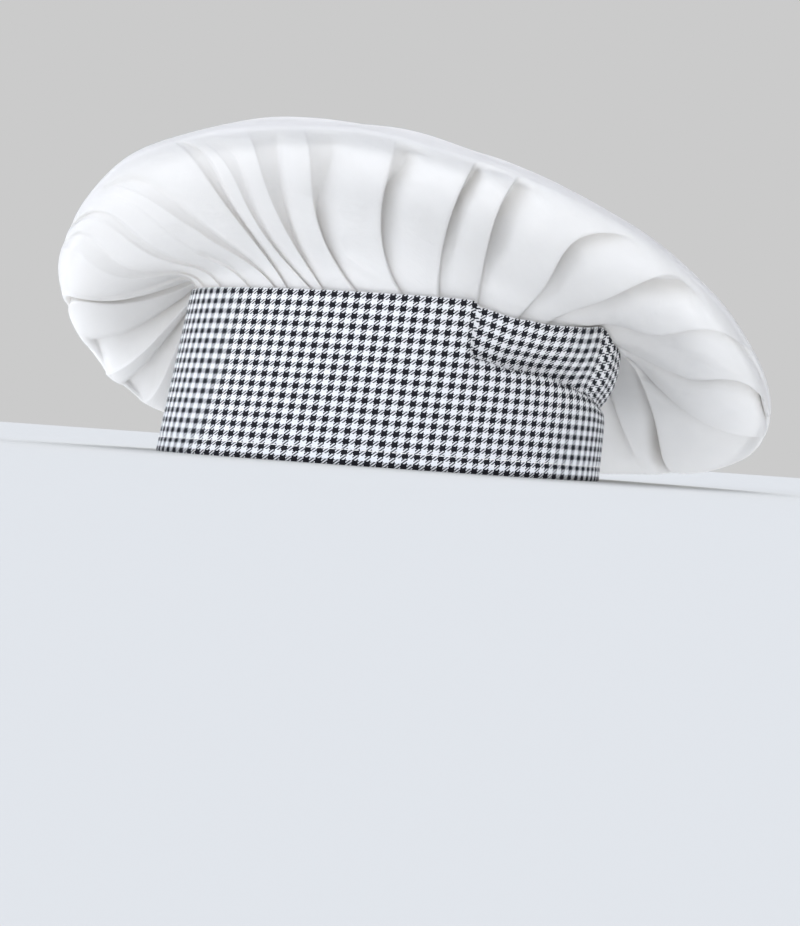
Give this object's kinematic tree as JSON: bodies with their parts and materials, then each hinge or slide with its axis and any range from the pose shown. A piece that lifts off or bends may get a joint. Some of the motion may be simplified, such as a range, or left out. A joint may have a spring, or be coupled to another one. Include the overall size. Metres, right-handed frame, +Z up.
{
  "type": "chef hat",
  "caption": "Floppy chef hat: a white crown pleated into a black and white houndstooth head band, resting on the band's lower edge.",
  "frame": {"origin": "on the surface that the head band stands on, under the middle of the whole hat's box", "axes": "+Z up, -Y the front of the hat, +X the wearer's left"},
  "size_m": [0.2796, 0.3401, 0.1485],
  "materials": {
    "white_cotton": "matt",
    "houndstooth_cotton": "matt"
  },
  "bodies": {
    "root": {"crown": "white_cotton", "band": "houndstooth_cotton"}
  },
  "joints": []
}
